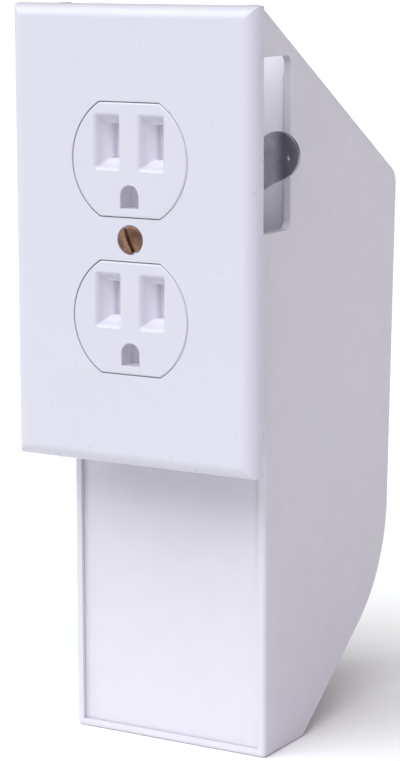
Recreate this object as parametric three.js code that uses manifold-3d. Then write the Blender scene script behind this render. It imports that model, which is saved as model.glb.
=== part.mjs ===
// A wall safe that looks like a duplex outlet: a cover plate with two decoy socket faces, a box behind it
// that hangs inside a hollow wall, and a screw between the sockets that swings out a lever and draws it up
// behind the wall board. Millimetres. +X is right and +Z up seen from the room, and +Y goes into the wall.
// The origin is on the axis of the screw, in the plane of the wall's face.

import * as THREE from 'three';
import * as BufferGeometryUtils from 'three/addons/utils/BufferGeometryUtils.js';
import { ConvexGeometry } from 'three/addons/geometries/ConvexGeometry.js';
import Module from 'manifold-3d';

const wasm = await Module();
wasm.setup();

const degrees = (angle) => THREE.MathUtils.degToRad(angle);

// Driving dimensions: cover plate
const PLATE_WIDTH = 69.85;
const PLATE_HEIGHT = 114.3;
const PLATE_DEPTH = 4.8;
const PLATE_SHEET = 2.2;
const PLATE_RIM = 2.0;
const PLATE_EDGE = 3.2;
const PLATE_HOLLOW_CORNER = 2.2;

// Driving dimensions: socket faces
const SOCKET_SPACING = 39.1;
const SOCKET_RADIUS = 16.4;
const SOCKET_HALF_HEIGHT = 14.0;
const SOCKET_PROUD = 0.25;
const SOCKET_BACK = 3.2;
const SOCKET_FLANGE = 1.5;
const SOCKET_FLANGE_THICKNESS = 1.4;
const SOCKET_EDGE = 0.5;
const BLADE_SPACING = 12.7;
const BLADE_ABOVE_CENTRE = 4.3;
const BLADE_MOUTH = { width: 7.2, height: 13.4 };
const BLADE_SLOT = { width: 2.5, height: 8.7 };
const BLADE_FUNNEL_DEPTH = 4.0;
const BLADE_SLOT_DEPTH = 2.4;
const EARTH_BELOW_CENTRE = 9.0;
const EARTH_WIDTH = 5.2;
const EARTH_HEIGHT = 5.7;
const EARTH_DEPTH = 5.2;

// Driving dimensions: box
const BOX_WIDTH = 57.0;
const BOX_WALL = 2.0;
const BOX_EDGE = 1.0;
const BOX_BOTTOM = 133.35;
const BOX_TOP_BELOW_PLATE_TOP = 0.15;
const BOARD_GAP = 12.7;
const BASE_DEPTH = 21.3;
const BASE_CORNER = 3.0;
const UNDERSIDE_ANGLE = degrees(36.2);
const UNDERSIDE_RADIUS = 40.0;
const BACK_DEPTH = 85.1;
const BACK_LEAN = degrees(2.0);
const BACK_CORNER = 5.0;
const TOP_FLAT = 10.5;
const TOP_CORNER = 2.0;
const SLANT_ANGLE = degrees(31.8);

// Driving dimensions: lower front panel and the ledge behind it
const PANEL_SETBACK = 1.2;
const PANEL_THICKNESS = 2.0;
const LEDGE_WIDTH = 1.5;
const LEDGE_THICKNESS = 1.5;

// Driving dimensions: divider and the ribs that guide it
const DIVIDER_DEPTH = 28.5;
const DIVIDER_THICKNESS = 1.8;
const DIVIDER_FOOT_FRONT = 6.0;
const DIVIDER_BELOW_RIM = 0.3;
const RIB_THICKNESS = 1.5;
const RIB_WIDTH = 1.2;
const RIB_BELOW_DIVIDER_TOP = 5.0;

// Driving dimensions: slot for the lever, in the right side wall
const SLOT_SILL = 1.3;
const SLOT_BELOW_RIM = 3.5;
const SLOT_FRONT = 6.0;
const SLOT_BACK = 25.2;
const SLOT_CORNER = 2.1;

// Driving dimensions: screws that hold the plate to the tabs of the box
const TAB_DEPTH = 6.0;
const TAB_THICKNESS = 2.0;
const TAB_HEIGHT = 9.0;
const TAB_BEYOND_SCREW = 4.0;
const PLATE_SCREW_INSIDE_WALL = 5.0;
const PLATE_SCREW_BELOW_TOP = 8.15;
const PLATE_SCREW_ABOVE_FLOOR = 7.6;
const PLATE_SCREW_LENGTH = 9.5;
const PLATE_BOSS_RADIUS = 3.2;

// Driving dimensions: strap behind the socket faces
const STRAP_WIDTH = 14.0;
const STRAP_BEYOND_SCREW = 3.4;
const STRAP_CORNER = 3.0;
const STRAP_THICKNESS = 1.2;
const STRAP_END_ROOM = 0.55;
const STRAP_SCREW_LENGTH = 6.35;
const STRAP_BOSS_RADIUS = 3.2;
const STRAP_BOSS_ROOM = 3.4;
const SCREW_TIP_ROOM = 0.5;

// Driving dimensions: small pan head screws
const PAN_HEAD_RADIUS = 2.7;
const PAN_HEAD_HEIGHT = 1.7;
const PAN_RIM_HEIGHT = 0.85;
const PAN_CROWN_RADIUS = 1.5;
const PAN_CROWN_EDGE = 0.25;
const PAN_SHANK_RADIUS = 1.4;
const PAN_CROSS_LENGTH = 3.0;
const PAN_CROSS_WIDTH = 0.7;
const PAN_CROSS_DEPTH = 1.0;

// Driving dimensions: cover screw, number 6 with 32 threads to the inch
const SCREW_LENGTH = 31.75;
const SCREW_RADIUS = 1.72;
const SCREW_HEAD_RADIUS = 3.5;
const SCREW_HEAD_CONE = 1.8;
const SCREW_HEAD_DOME = 0.6;
const SCREW_HEAD_SUNK = 0.1;
const SCREW_SLOT_WIDTH = 1.16;
const SCREW_SLOT_DEPTH = 1.1;
const SCREW_SLOT_TILT = degrees(-22.8);
const SCREW_POINT = 0.6;
const THREAD_PITCH = 25.4 / 32;

// Driving dimensions: ring, nut and bush on the screw, and the lever on the bush
const RING_RADIUS = 3.6;
const RING_THICKNESS = 0.8;
const NUT_ACROSS_FLATS = 7.94;
const NUT_THICKNESS = 2.2;
const TURNS_TO_NUT = 6;
const BUSH_RADIUS = 2.6;
const BUSH_FLANGE_RADIUS = 4.6;
const BUSH_FLANGE_THICKNESS = 2.0;
const BUSH_RIM_RADIUS = 3.1;
const BUSH_RIM_THICKNESS = 0.5;
const LEVER_DEPTH = 15.875;
const LEVER_THICKNESS = 1.0;
const LEVER_LENGTH = 36.2;
const LEVER_HUB_RADIUS = 5.2;
const LEVER_TIP_RADIUS = 5.9;
const LEVER_WAIST_AT = 14.0;
const LEVER_WAIST = 3.0;
const LEVER_ANGLE = degrees(34.4);

// Clearances
const FIT = 0.1;
const SLIDE_FIT = 0.15;
const FACE_GAP = 0.25;
const TURN_FIT = 0.13;
const HOLE_FIT = 0.2;

// How far a cut runs past the face that it opens
const CUT_BEYOND = 1.0;

// How finely curves are stepped
const CORNER_STEP = degrees(9);
const EDGE_STEPS = 3;
const PLATE_EDGE_STEPS = 6;
const ARC_STEPS = 8;
const ROUND_STEPS = 32;
const DOME_STEPS = 4;

// Sizes that follow from these
const HALF_WIDTH = BOX_WIDTH / 2;
const INNER_HALF_WIDTH = HALF_WIDTH - BOX_WALL;
const WALL_TOP = PLATE_HEIGHT / 2 - BOX_TOP_BELOW_PLATE_TOP;
const SHEET_BACK = PLATE_SHEET - PLATE_DEPTH;
const SOCKET_FLANGE_END = SOCKET_SPACING / 2 + SOCKET_HALF_HEIGHT + SOCKET_FLANGE;
const STRAP_SCREW_Z = SOCKET_FLANGE_END + STRAP_BOSS_RADIUS + STRAP_BOSS_ROOM;
const STRAP_END = STRAP_SCREW_Z + STRAP_BEYOND_SCREW;
const NECK_FLOOR = -STRAP_END - STRAP_END_ROOM;
const NECK_BOTTOM = BOX_WALL - NECK_FLOOR;
const INNER_BOTTOM = BOX_WALL - BOX_BOTTOM;
const PANEL_BACK = BOARD_GAP + PANEL_SETBACK + PANEL_THICKNESS;
const LEDGE_BACK = PANEL_BACK + FIT + LEDGE_THICKNESS;
const STRAP_FRONT = SOCKET_BACK + FIT;
const STRAP_BACK = STRAP_FRONT + STRAP_THICKNESS;
const TAB_BACK = TAB_DEPTH + TAB_THICKNESS;
const SCREW_HOLE_RADIUS = SCREW_RADIUS + HOLE_FIT;
const PILOT_RADIUS = PAN_SHANK_RADIUS + FIT;
const HEAD_SEAT = SCREW_HEAD_SUNK - PLATE_DEPTH;
const BUSH_BACK = LEVER_DEPTH + LEVER_THICKNESS + FIT + BUSH_FLANGE_THICKNESS;
const NUT_FRONT = BUSH_BACK + TURNS_TO_NUT * THREAD_PITCH + SLIDE_FIT;
const DIVIDER_BACK = DIVIDER_DEPTH + DIVIDER_THICKNESS;
const PLATE_SCREW_X = INNER_HALF_WIDTH - PLATE_SCREW_INSIDE_WALL;
const PLATE_SCREW_TOP = PLATE_HEIGHT / 2 - PLATE_SCREW_BELOW_TOP;
const PLATE_SCREW_BOTTOM = NECK_FLOOR + PLATE_SCREW_ABOVE_FLOOR;

// Height of the slanted rim of the box at a depth into the wall.
function slantHeight(depth) {
  return WALL_TOP - (depth - TOP_FLAT) * Math.tan(SLANT_ANGLE);
}

// A closed mesh as a solid that can be joined and cut.
function toSolid(geometry) {
  geometry.deleteAttribute('normal');
  geometry.deleteAttribute('uv');
  const merged = BufferGeometryUtils.mergeVertices(geometry);
  const corners = merged.index.array;
  const triangles = [];
  for (let i = 0; i < corners.length; i += 3) {
    const [a, b, c] = [corners[i], corners[i + 1], corners[i + 2]];
    if (a !== b && b !== c && c !== a) triangles.push(a, b, c);
  }
  return new wasm.Manifold(new wasm.Mesh({
    numProp: 3,
    vertProperties: new Float32Array(merged.attributes.position.array),
    triVerts: new Uint32Array(triangles),
  }));
}

function toGeometry(solid) {
  const mesh = solid.getMesh();
  const geometry = new THREE.BufferGeometry();
  geometry.setAttribute('position', new THREE.BufferAttribute(mesh.vertProperties, 3));
  geometry.setIndex(new THREE.BufferAttribute(mesh.triVerts, 1));
  geometry.computeVertexNormals();
  return geometry;
}

function block([left, right], [near, far], [low, high]) {
  const geometry = new THREE.BoxGeometry(right - left, far - near, high - low);
  geometry.translate((left + right) / 2, (near + far) / 2, (low + high) / 2);
  return toSolid(geometry);
}

// A shape drawn as seen from the room, made solid from one depth to another.
function alongDepth(shape, near, far, curveSegments = ARC_STEPS) {
  const settings = { depth: far - near, bevelEnabled: false, curveSegments };
  const geometry = new THREE.ExtrudeGeometry(shape, settings);
  geometry.rotateX(Math.PI / 2);
  geometry.translate(0, far, 0);
  return toSolid(geometry);
}

// A shape drawn as seen from the right, with depth across and height up, made solid from left to right.
// An edge size rounds the outline's edges on both sides.
function alongWidth(shape, left, right, edge = 0) {
  const geometry = new THREE.ExtrudeGeometry(shape, {
    depth: right - left - 2 * edge,
    bevelEnabled: edge > 0,
    bevelThickness: edge,
    bevelSize: edge,
    bevelOffset: -edge,
    bevelSegments: EDGE_STEPS,
  });
  geometry.translate(0, 0, left + edge);
  const [across, into, up] = [[1, 0, 0], [0, 1, 0], [0, 0, 1]].map((axis) => new THREE.Vector3(...axis));
  geometry.applyMatrix4(new THREE.Matrix4().makeBasis(into, up, across));
  return toSolid(geometry);
}

// A solid of revolution about the depth axis, from a profile of [radius, depth] that goes into the wall.
function turned(profile, segments = ROUND_STEPS) {
  const points = profile.map(([radius, depth]) => new THREE.Vector2(radius, depth));
  return toSolid(new THREE.LatheGeometry(points, segments));
}

// A plain round bar along the depth axis.
function bar(x, z, radius, near, far, segments = 24) {
  const geometry = new THREE.CylinderGeometry(radius, radius, far - near, segments);
  geometry.translate(x, (near + far) / 2, z);
  return toSolid(geometry);
}

// A closed outline through [x, y, radius] corners, each rounded by its radius.
function outline(corners) {
  const points = corners.map(([x, y]) => new THREE.Vector2(x, y));
  const path = [];
  corners.forEach(([, , radius = 0], i) => {
    const corner = points[i];
    if (radius === 0) {
      path.push(corner);
      return;
    }
    const toBefore = points.at(i - 1).clone().sub(corner).normalize();
    const toAfter = points[(i + 1) % points.length].clone().sub(corner).normalize();
    const half = Math.acos(toBefore.dot(toAfter)) / 2;
    const toCentre = toBefore.clone().add(toAfter).normalize().multiplyScalar(radius / Math.sin(half));
    const arm = toBefore.clone().multiplyScalar(radius / Math.tan(half)).sub(toCentre);
    const sweep = Math.sign(toAfter.cross(toBefore)) * (Math.PI - 2 * half);
    const steps = Math.ceil(Math.abs(sweep) / CORNER_STEP);
    const centre = corner.clone().add(toCentre);
    for (let step = 0; step <= steps; step += 1) {
      path.push(arm.clone().rotateAround(new THREE.Vector2(), sweep * step / steps).add(centre));
    }
  });
  return new THREE.Shape(path);
}

function roundedRectangle([left, right], [low, high], radius) {
  return outline([[left, low, radius], [right, low, radius], [right, high, radius], [left, high, radius]]);
}

// The round-sided, flat-topped outline of a socket face, grown outwards by an offset.
function socketOutline(offset = 0) {
  const radius = SOCKET_RADIUS + offset;
  const reach = Math.asin((SOCKET_HALF_HEIGHT + offset) / radius);
  const shape = new THREE.Shape();
  shape.absarc(0, 0, radius, -reach, reach, false);
  shape.absarc(0, 0, radius, Math.PI - reach, Math.PI + reach, false);
  shape.closePath();
  return shape;
}

// Where two lines meet, each given by a point and its angle above the first axis.
function meeting([x1, y1], angle1, [x2, y2], angle2) {
  const [slope1, slope2] = [Math.tan(angle1), Math.tan(angle2)];
  const x = (y2 - y1 + slope1 * x1 - slope2 * x2) / (slope1 - slope2);
  return [x, y1 + slope1 * (x - x1)];
}

// Corners of the side view of the box behind the wall, moved in by an inset.
function backCorners(inset) {
  const bottom = inset - BOX_BOTTOM;
  const backAngle = Math.PI / 2 - BACK_LEAN;
  const onBack = [BACK_DEPTH - inset / Math.cos(BACK_LEAN), 0];
  const underside = [BOARD_GAP + BASE_DEPTH, inset / Math.cos(UNDERSIDE_ANGLE) - BOX_BOTTOM];
  return {
    base: meeting([0, bottom], 0, underside, UNDERSIDE_ANGLE),
    heel: meeting(underside, UNDERSIDE_ANGLE, onBack, backAngle),
    shoulder: meeting(onBack, backAngle, [TOP_FLAT, WALL_TOP], -SLANT_ANGLE),
    aboveShoulder: meeting(onBack, backAngle, [0, 2 * WALL_TOP], 0),
  };
}

function boxBody() {
  const { base, heel, shoulder } = backCorners(0);
  const shape = outline([
    [FIT, -NECK_BOTTOM],
    [BOARD_GAP, -NECK_BOTTOM],
    [BOARD_GAP, -BOX_BOTTOM],
    [...base, BASE_CORNER],
    [...heel, UNDERSIDE_RADIUS],
    [...shoulder, BACK_CORNER],
    [TOP_FLAT, WALL_TOP, TOP_CORNER],
    [FIT, WALL_TOP],
  ]);
  return alongWidth(shape, -HALF_WIDTH, HALF_WIDTH, BOX_EDGE);
}

// The hollow of the box: the neck, which is open to the plate, and the pocket, which is open at the slant
// and at the lower front.
function boxHollow() {
  const { base, heel, aboveShoulder } = backCorners(BOX_WALL);
  const shape = outline([
    [-CUT_BEYOND, NECK_FLOOR],
    [LEDGE_BACK, NECK_FLOOR],
    [LEDGE_BACK, -NECK_BOTTOM],
    [BOARD_GAP - CUT_BEYOND, -NECK_BOTTOM],
    [BOARD_GAP - CUT_BEYOND, INNER_BOTTOM],
    [base[0], INNER_BOTTOM, BASE_CORNER],
    [...heel, UNDERSIDE_RADIUS - BOX_WALL],
    aboveShoulder,
    [-CUT_BEYOND, aboveShoulder[1]],
  ]);
  return alongWidth(shape, -INNER_HALF_WIDTH, INNER_HALF_WIDTH);
}

function leverSlot() {
  const height = [SLOT_SILL, slantHeight(SLOT_BACK) - SLOT_BELOW_RIM];
  const shape = roundedRectangle([SLOT_FRONT, SLOT_BACK], height, SLOT_CORNER);
  return alongWidth(shape, INNER_HALF_WIDTH - CUT_BEYOND, HALF_WIDTH + CUT_BEYOND);
}

// The step inside the rim of the lower front that the panel rests against.
function panelLedge() {
  const depth = [PANEL_BACK + FIT, LEDGE_BACK];
  const outer = INNER_HALF_WIDTH + FIT;
  const inner = INNER_HALF_WIDTH - LEDGE_WIDTH;
  const opening = block([-inner, inner], [0, LEDGE_BACK + CUT_BEYOND], [INNER_BOTTOM + LEDGE_WIDTH, 0]);
  return block([-outer, outer], depth, [INNER_BOTTOM - FIT, FIT - NECK_BOTTOM]).subtract(opening);
}

// Two ribs on each side wall, with the divider between them.
function dividerRibs() {
  const ribTop = slantHeight(DIVIDER_BACK) - DIVIDER_BELOW_RIM - RIB_BELOW_DIVIDER_TOP;
  const height = [NECK_FLOOR + DIVIDER_THICKNESS + FACE_GAP, ribTop];
  const ribs = [];
  for (const near of [DIVIDER_DEPTH - FIT - RIB_THICKNESS, DIVIDER_BACK + FIT]) {
    const depth = [near, near + RIB_THICKNESS];
    ribs.push(block([INNER_HALF_WIDTH - RIB_WIDTH, INNER_HALF_WIDTH + FIT], depth, height));
    ribs.push(block([-INNER_HALF_WIDTH - FIT, RIB_WIDTH - INNER_HALF_WIDTH], depth, height));
  }
  return ribs;
}

const plateScrewPlaces = [
  [-PLATE_SCREW_X, PLATE_SCREW_TOP],
  [PLATE_SCREW_X, PLATE_SCREW_TOP],
  [-PLATE_SCREW_X, PLATE_SCREW_BOTTOM],
  [PLATE_SCREW_X, PLATE_SCREW_BOTTOM],
];

// A tab that stands in from a side wall, with a hole for one plate screw.
function screwTab([x, z]) {
  const outside = Math.sign(x) * (INNER_HALF_WIDTH + FIT);
  const inside = x - Math.sign(x) * TAB_BEYOND_SCREW;
  const width = [Math.min(outside, inside), Math.max(outside, inside)];
  const tab = block(width, [TAB_DEPTH, TAB_BACK], [z - TAB_HEIGHT / 2, z + TAB_HEIGHT / 2]);
  const hole = bar(x, z, PAN_SHANK_RADIUS + HOLE_FIT, TAB_DEPTH - CUT_BEYOND, TAB_BACK + CUT_BEYOND);
  return tab.subtract(hole);
}

function boxShell() {
  const hollowed = boxBody().subtract(boxHollow());
  return [panelLedge(), ...dividerRibs(), ...plateScrewPlaces.map(screwTab)]
    .reduce((shell, piece) => shell.add(piece), hollowed)
    .subtract(leverSlot());
}

function frontPanel() {
  const halfWidth = INNER_HALF_WIDTH - SLIDE_FIT;
  const height = [INNER_BOTTOM + SLIDE_FIT, -NECK_BOTTOM - SLIDE_FIT];
  return block([-halfWidth, halfWidth], [BOARD_GAP + PANEL_SETBACK, PANEL_BACK], height);
}

// An upright sheet behind the lever. Its foot lies on the floor of the neck, and its top follows the slant.
function divider() {
  const foot = NECK_FLOOR + FIT;
  const shape = outline([
    [DIVIDER_FOOT_FRONT, foot],
    [DIVIDER_BACK, foot, DIVIDER_THICKNESS],
    [DIVIDER_BACK, slantHeight(DIVIDER_BACK) - DIVIDER_BELOW_RIM],
    [DIVIDER_DEPTH, slantHeight(DIVIDER_DEPTH) - DIVIDER_BELOW_RIM],
    [DIVIDER_DEPTH, foot + DIVIDER_THICKNESS],
    [DIVIDER_FOOT_FRONT, foot + DIVIDER_THICKNESS],
  ]);
  const halfWidth = INNER_HALF_WIDTH - SLIDE_FIT;
  return alongWidth(shape, -halfWidth, halfWidth);
}

// The cover's outer form: a slab whose front edges roll back and meet in mitres, cut off flat at the wall.
function plateBody() {
  const halfWidth = PLATE_WIDTH / 2;
  const halfHeight = PLATE_HEIGHT / 2;
  const shape = roundedRectangle([-halfWidth, halfWidth], [-halfHeight, halfHeight], 0);
  const geometry = new THREE.ExtrudeGeometry(shape, {
    depth: PLATE_DEPTH,
    bevelThickness: PLATE_EDGE,
    bevelSize: PLATE_EDGE,
    bevelOffset: -PLATE_EDGE,
    bevelSegments: PLATE_EDGE_STEPS,
  });
  geometry.rotateX(Math.PI / 2);
  geometry.translate(0, PLATE_EDGE, 0);
  const behindWall = block([-PLATE_WIDTH, PLATE_WIDTH], [0, 3 * PLATE_EDGE], [-PLATE_HEIGHT, PLATE_HEIGHT]);
  return toSolid(geometry).subtract(behindWall);
}

function plateHollow() {
  const halfWidth = PLATE_WIDTH / 2 - PLATE_RIM;
  const halfHeight = PLATE_HEIGHT / 2 - PLATE_RIM;
  const shape = roundedRectangle([-halfWidth, halfWidth], [-halfHeight, halfHeight], PLATE_HOLLOW_CORNER);
  return alongDepth(shape, SHEET_BACK, CUT_BEYOND);
}

// A boss behind the sheet, with a blind pilot hole for a screw of a given length from the boss's far end.
function blindBoss([x, z], radius, far, holeDepth) {
  return {
    boss: bar(x, z, radius, SHEET_BACK - FIT, far),
    hole: bar(x, z, PILOT_RADIUS, far - holeDepth, far + CUT_BEYOND),
  };
}

function wallPlate() {
  const strapScrews = [[0, STRAP_SCREW_Z], [0, -STRAP_SCREW_Z]];
  const strapHole = STRAP_SCREW_LENGTH - STRAP_THICKNESS + SCREW_TIP_ROOM;
  const plateHole = PLATE_SCREW_LENGTH - TAB_THICKNESS + SCREW_TIP_ROOM;
  const bosses = [
    ...strapScrews.map((place) => blindBoss(place, STRAP_BOSS_RADIUS, SOCKET_BACK, strapHole)),
    ...plateScrewPlaces.map((place) => blindBoss(place, PLATE_BOSS_RADIUS, TAB_DEPTH - FIT, plateHole)),
  ];
  let plate = plateBody().subtract(plateHollow());
  const centreBoss = SOCKET_SPACING / 2 - SOCKET_HALF_HEIGHT - SOCKET_FLANGE - SLIDE_FIT;
  plate = plate.add(bar(0, 0, centreBoss, SHEET_BACK - FIT, SOCKET_BACK));
  for (const { boss, hole } of bosses) plate = plate.add(boss).subtract(hole);
  for (const side of [1, -1]) {
    const opening = alongDepth(socketOutline(FACE_GAP), -PLATE_DEPTH - CUT_BEYOND, 0);
    plate = plate.subtract(opening.translate([0, 0, side * SOCKET_SPACING / 2]));
  }
  const sinkRadius = SCREW_HEAD_RADIUS + FIT;
  const screwHole = turned([
    [0, -PLATE_DEPTH - CUT_BEYOND],
    [sinkRadius, -PLATE_DEPTH - CUT_BEYOND],
    [sinkRadius, HEAD_SEAT + FIT],
    [SCREW_HOLE_RADIUS, HEAD_SEAT + FIT + SCREW_HEAD_CONE],
    [SCREW_HOLE_RADIUS, SOCKET_BACK + CUT_BEYOND],
    [0, SOCKET_BACK + CUT_BEYOND],
  ]);
  return plate.subtract(screwHole);
}

// A recess centred at [x, z] that narrows from its mouth, at a face, to its floor. Its sides run on in
// front of the face.
function funnel([x, z], mouth, floor, face, depth) {
  const runOn = 1 + CUT_BEYOND / depth;
  const corners = [];
  for (const [share, y] of [[runOn, face - CUT_BEYOND], [0, face + depth]]) {
    const width = THREE.MathUtils.lerp(floor.width, mouth.width, share);
    const height = THREE.MathUtils.lerp(floor.height, mouth.height, share);
    for (const [right, up] of [[-1, -1], [1, -1], [1, 1], [-1, 1]]) {
      corners.push(new THREE.Vector3(x + right * width / 2, y, z + up * height / 2));
    }
  }
  return toSolid(new ConvexGeometry(corners));
}

// A decoy blade slot: a funnel, then a blind straight slot.
function bladeRecess(x, face) {
  const { width, height } = BLADE_SLOT;
  const floor = face + BLADE_FUNNEL_DEPTH;
  const slot = block(
    [x - width / 2, x + width / 2],
    [floor - FIT, floor + BLADE_SLOT_DEPTH],
    [BLADE_ABOVE_CENTRE - height / 2, BLADE_ABOVE_CENTRE + height / 2],
  );
  return funnel([x, BLADE_ABOVE_CENTRE], BLADE_MOUTH, BLADE_SLOT, face, BLADE_FUNNEL_DEPTH).add(slot);
}

// The earth hole: round at the top and flat below, blind.
function earthRecess(face) {
  const radius = EARTH_WIDTH / 2;
  const bottom = -EARTH_BELOW_CENTRE - EARTH_HEIGHT / 2;
  const shape = new THREE.Shape();
  shape.moveTo(-radius, bottom);
  shape.lineTo(radius, bottom);
  shape.absarc(0, bottom + EARTH_HEIGHT - radius, radius, 0, Math.PI, false);
  shape.closePath();
  return alongDepth(shape, face - CUT_BEYOND, face + EARTH_DEPTH);
}

// One socket face, centred on its own outline, with a flange behind the cover's sheet.
function socketFace() {
  const face = -PLATE_DEPTH - SOCKET_PROUD;
  const flange = SHEET_BACK + FIT;
  return alongDepth(socketOutline(-SOCKET_EDGE / 2), face, face + SOCKET_EDGE)
    .add(alongDepth(socketOutline(), face + SOCKET_EDGE / 2, SOCKET_BACK))
    .add(alongDepth(socketOutline(SOCKET_FLANGE), flange, flange + SOCKET_FLANGE_THICKNESS))
    .subtract(bladeRecess(-BLADE_SPACING / 2, face))
    .subtract(bladeRecess(BLADE_SPACING / 2, face))
    .subtract(earthRecess(face));
}

function yokeStrap() {
  const halfWidth = STRAP_WIDTH / 2;
  const shape = roundedRectangle([-halfWidth, halfWidth], [-STRAP_END, STRAP_END], STRAP_CORNER);
  const holes = [
    [0, SCREW_HOLE_RADIUS],
    [STRAP_SCREW_Z, PAN_SHANK_RADIUS + HOLE_FIT],
    [-STRAP_SCREW_Z, PAN_SHANK_RADIUS + HOLE_FIT],
  ];
  let strap = alongDepth(shape, STRAP_FRONT, STRAP_BACK);
  for (const [z, radius] of holes) {
    strap = strap.subtract(bar(0, z, radius, STRAP_FRONT - CUT_BEYOND, STRAP_BACK + CUT_BEYOND));
  }
  return strap;
}

// A pan head screw driven towards the room, with the underside of its head at depth 0.
function panScrew(length) {
  const screw = turned([
    [0, -length],
    [PAN_SHANK_RADIUS / 2, -length],
    [PAN_SHANK_RADIUS, PAN_SHANK_RADIUS - length],
    [PAN_SHANK_RADIUS, 0],
    [PAN_HEAD_RADIUS, 0],
    [PAN_HEAD_RADIUS, PAN_RIM_HEIGHT],
    [(PAN_HEAD_RADIUS + PAN_CROWN_RADIUS) / 2, PAN_HEAD_HEIGHT - PAN_CROWN_EDGE],
    [PAN_CROWN_RADIUS, PAN_HEAD_HEIGHT],
    [0, PAN_HEAD_HEIGHT],
  ], 20);
  const reach = [-PAN_CROSS_LENGTH / 2, PAN_CROSS_LENGTH / 2];
  const narrow = [-PAN_CROSS_WIDTH / 2, PAN_CROSS_WIDTH / 2];
  const depth = [PAN_HEAD_HEIGHT - PAN_CROSS_DEPTH, PAN_HEAD_HEIGHT + CUT_BEYOND];
  return screw.subtract(block(reach, depth, narrow)).subtract(block(narrow, depth, reach));
}

// The cover screw, with the rim of its head at depth 0.
function coverScrew() {
  const domePoints = [];
  for (let step = 0; step <= DOME_STEPS; step += 1) {
    const part = step / DOME_STEPS;
    domePoints.push([SCREW_HEAD_RADIUS * part, -SCREW_HEAD_DOME * (1 - part * part)]);
  }
  const screw = turned([
    ...domePoints,
    [SCREW_RADIUS, SCREW_HEAD_CONE],
    [SCREW_RADIUS, SCREW_LENGTH - SCREW_POINT],
    [SCREW_RADIUS - SCREW_POINT, SCREW_LENGTH],
    [0, SCREW_LENGTH],
  ]);
  const half = SCREW_SLOT_WIDTH / 2;
  const depth = [-SCREW_HEAD_DOME - CUT_BEYOND, SCREW_SLOT_DEPTH - SCREW_HEAD_DOME];
  const reach = SCREW_HEAD_RADIUS + CUT_BEYOND;
  const slot = block([-half, half], depth, [-reach, reach]);
  return screw.subtract(slot);
}

// A flat ring about the screw, pressed on behind the strap.
function retainingRing() {
  const inner = SCREW_RADIUS + FIT;
  return turned([
    [inner, 0],
    [RING_RADIUS, 0],
    [RING_RADIUS, RING_THICKNESS],
    [inner, RING_THICKNESS],
    [inner, 0],
  ]);
}

function stopNut() {
  const corner = NUT_ACROSS_FLATS / 2 / Math.cos(Math.PI / 6);
  const hexagon = new THREE.Shape();
  for (let i = 0; i < 6; i += 1) {
    const angle = i * Math.PI / 3;
    if (i === 0) hexagon.moveTo(corner, 0);
    else hexagon.lineTo(corner * Math.cos(angle), corner * Math.sin(angle));
  }
  hexagon.closePath();
  const hole = bar(0, 0, SCREW_RADIUS + FIT, -CUT_BEYOND, NUT_THICKNESS + CUT_BEYOND, ROUND_STEPS);
  return alongDepth(hexagon, 0, NUT_THICKNESS).subtract(hole);
}

// The threaded bush: a rim in front of the lever, a barrel through it and a flange behind it.
// Depth 0 is the front face of the lever.
function threadedBush() {
  const bore = SCREW_RADIUS + TURN_FIT;
  const front = -FIT - BUSH_RIM_THICKNESS;
  const flange = LEVER_THICKNESS + FIT;
  return turned([
    [bore, front],
    [BUSH_RIM_RADIUS, front],
    [BUSH_RIM_RADIUS, -FIT],
    [BUSH_RADIUS, -FIT],
    [BUSH_RADIUS, flange],
    [BUSH_FLANGE_RADIUS, flange],
    [BUSH_FLANGE_RADIUS, flange + BUSH_FLANGE_THICKNESS],
    [bore, flange + BUSH_FLANGE_THICKNESS],
    [bore, front],
  ]);
}

// The angle, seen from a circle's centre, at which a line from an outside point touches the circle.
function touchAngle([x, y], radius, side) {
  return Math.atan2(y, x) + side * Math.acos(radius / Math.hypot(x, y));
}

// The lever lies along +X from its hub, and narrows between the hub and its round tip.
function latchLever() {
  const hubTouch = touchAngle([LEVER_WAIST_AT, LEVER_WAIST], LEVER_HUB_RADIUS, 1);
  const tipTouch = touchAngle([LEVER_WAIST_AT - LEVER_LENGTH, LEVER_WAIST], LEVER_TIP_RADIUS, -1);
  const hubEnd = [LEVER_HUB_RADIUS * Math.cos(hubTouch), LEVER_HUB_RADIUS * Math.sin(hubTouch)];
  const tipStart = [
    LEVER_LENGTH + LEVER_TIP_RADIUS * Math.cos(tipTouch),
    -LEVER_TIP_RADIUS * Math.sin(tipTouch),
  ];
  const shape = new THREE.Shape();
  shape.absarc(0, 0, LEVER_HUB_RADIUS, hubTouch, 2 * Math.PI - hubTouch, false);
  shape.quadraticCurveTo(LEVER_WAIST_AT, -LEVER_WAIST, ...tipStart);
  shape.absarc(LEVER_LENGTH, 0, LEVER_TIP_RADIUS, -tipTouch, tipTouch, false);
  shape.quadraticCurveTo(LEVER_WAIST_AT, LEVER_WAIST, ...hubEnd);
  const hole = bar(0, 0, BUSH_RADIUS + FIT, -CUT_BEYOND, LEVER_THICKNESS + CUT_BEYOND, ROUND_STEPS);
  return alongDepth(shape, 0, LEVER_THICKNESS).subtract(hole);
}

const whitePlastic = new THREE.MeshStandardMaterial({ color: 0xe6e4ee, roughness: 0.38, metalness: 0 });
const boxPlastic = new THREE.MeshStandardMaterial({ color: 0xdedce6, roughness: 0.5, metalness: 0 });
const brass = new THREE.MeshStandardMaterial({ color: 0x8a6a4c, roughness: 0.35, metalness: 1 });
const darkSteel = new THREE.MeshStandardMaterial({ color: 0x6a6a72, roughness: 0.4, metalness: 1 });
const brightSteel = new THREE.MeshStandardMaterial({ color: 0xa9abb2, roughness: 0.35, metalness: 1 });

const safe = new THREE.Group();

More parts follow.
